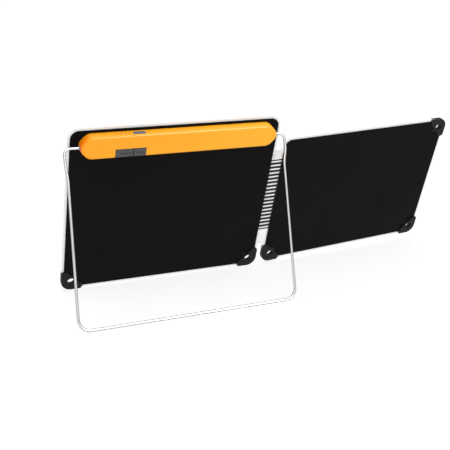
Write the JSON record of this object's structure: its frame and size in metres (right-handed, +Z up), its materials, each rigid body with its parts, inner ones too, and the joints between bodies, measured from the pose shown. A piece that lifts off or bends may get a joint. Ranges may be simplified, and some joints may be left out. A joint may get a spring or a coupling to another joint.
{
  "type": "folding solar panel",
  "caption": "Book-folding camping solar panel: black-backed leaves on a flexible ribbed hinge, orange battery housing and a wire kickstand.",
  "frame": {"origin": "centre of the bounding box in plan, on the ground plane the panel stands on", "axes": "+Z up; +X along both leaves from the battery leaf to the free leaf; the sun side faces +Y and the housing and kickstand are on the -Y side"},
  "size_m": [0.5322, 0.1514, 0.2081],
  "materials": {
    "light_plastic": "satin, fine moulded grain",
    "black_laminate": "fine pebbled weave",
    "solar_cell": "deep blue-black silicon under film",
    "tinned_copper": "bright tinned",
    "clear_film": "clear, slightly textured",
    "flat_lead": "flat laminated",
    "black_moulding": "moulded, satin",
    "adhesive_foam": "closed-cell foam",
    "orange_shell": "satin moulded",
    "seal_rubber": "matte",
    "screw_steel": "plated",
    "battery_foil": "foil laminate",
    "lead_wire": "silicone sleeve",
    "circuit_board": "solder mask",
    "chip_black": "moulded epoxy",
    "inductor_ferrite": "sintered",
    "socket_steel": "plated",
    "led_white": "clear resin",
    "light_pipe": "frosted",
    "cover_rubber": "matte moulded",
    "button_grey": "satin",
    "bush_grey": "self-lubricating moulding",
    "stand_wire": "bright drawn wire",
    "clip_steel": "spring steel"
  },
  "bodies": {
    "main_leaf": {"battery_leads": "lead_wire", "battery_pad": "adhesive_foam", "battery_pouch": "battery_foil", "board_components": "chip_black", "circuit_board": "circuit_board", "cover_seal": "seal_rubber", "housing_base": "orange_shell", "housing_cover": "orange_shell", "housing_screws": "screw_steel", "led_light_pipes": "light_pipe", "main_back_board": "black_laminate", "main_cell_ribbons": "tinned_copper", "main_cells": "solar_cell", "main_clear_film": "clear_film", "main_corner_left": "black_moulding", "main_corner_right": "black_moulding", "main_front_sheet": "light_plastic", "main_leaf_lead": "flat_lead", "micro_usb_port": "socket_steel", "module_tape": "adhesive_foam", "pivot_bush_left": "bush_grey", "pivot_bush_right": "bush_grey", "power_inductor": "inductor_ferrite", "status_leds": "led_white", "tact_switch": "chip_black", "usb_a_port": "socket_steel"},
    "hinge_web": {"web_strip": "light_plastic", "web_ribs": "black_laminate", "web_flex_lead": "flat_lead"},
    "second_leaf": {"second_back_board": "black_laminate", "second_cell_ribbons": "tinned_copper", "second_cells": "solar_cell", "second_clear_film": "clear_film", "second_corner_lower_left": "black_moulding", "second_corner_lower_right": "black_moulding", "second_corner_upper_right": "black_moulding", "second_front_sheet": "light_plastic", "second_leaf_lead": "flat_lead"},
    "kickstand": {"kickstand_wire": "stand_wire", "kickstand_clips": "clip_steel"},
    "output_cover": {"output_port_cover": "cover_rubber"},
    "input_cover": {"input_port_cover": "cover_rubber"},
    "button": {"power_button": "button_grey"}
  },
  "joints": [
    {"name": "web_fold", "type": "hinge", "parent": "main_leaf", "child": "hinge_web", "pos_m": [0.00134, 0.02393, 0.09704], "axis": [0, -0.2898, 0.9571], "range_deg": [-2.56, 87.44]},
    {"name": "leaf_fold", "type": "hinge", "parent": "hinge_web", "child": "second_leaf", "pos_m": [0.01053, 0.02432, 0.09716], "axis": [0, -0.2898, 0.9571], "range_deg": [-2.56, 87.44]},
    {"name": "kickstand_swing", "type": "hinge", "parent": "main_leaf", "child": "kickstand", "pos_m": [-0.12666, -0.0115, 0.18662], "axis": [-1, 0, 0], "range_deg": [-35.56, 234.44]},
    {"name": "output_cover_hinge", "type": "hinge", "parent": "main_leaf", "child": "output_cover", "pos_m": [-0.19316, -0.01527, 0.18234], "axis": [-1, 0, 0], "range_deg": [0, 90]},
    {"name": "input_cover_hinge", "type": "hinge", "parent": "main_leaf", "child": "input_cover", "pos_m": [-0.17566, -0.01527, 0.18234], "axis": [-1, 0, 0], "range_deg": [0, 90]},
    {"name": "button_press", "type": "slide", "parent": "main_leaf", "child": "button", "axis": [0, 0.2898, -0.9571], "range_m": [0, 0.0006], "stiffness_N_per_m": 400}
  ],
  "couplings": [
    {"joint": "web_fold", "follows": "leaf_fold", "ratio": 1}
  ]
}
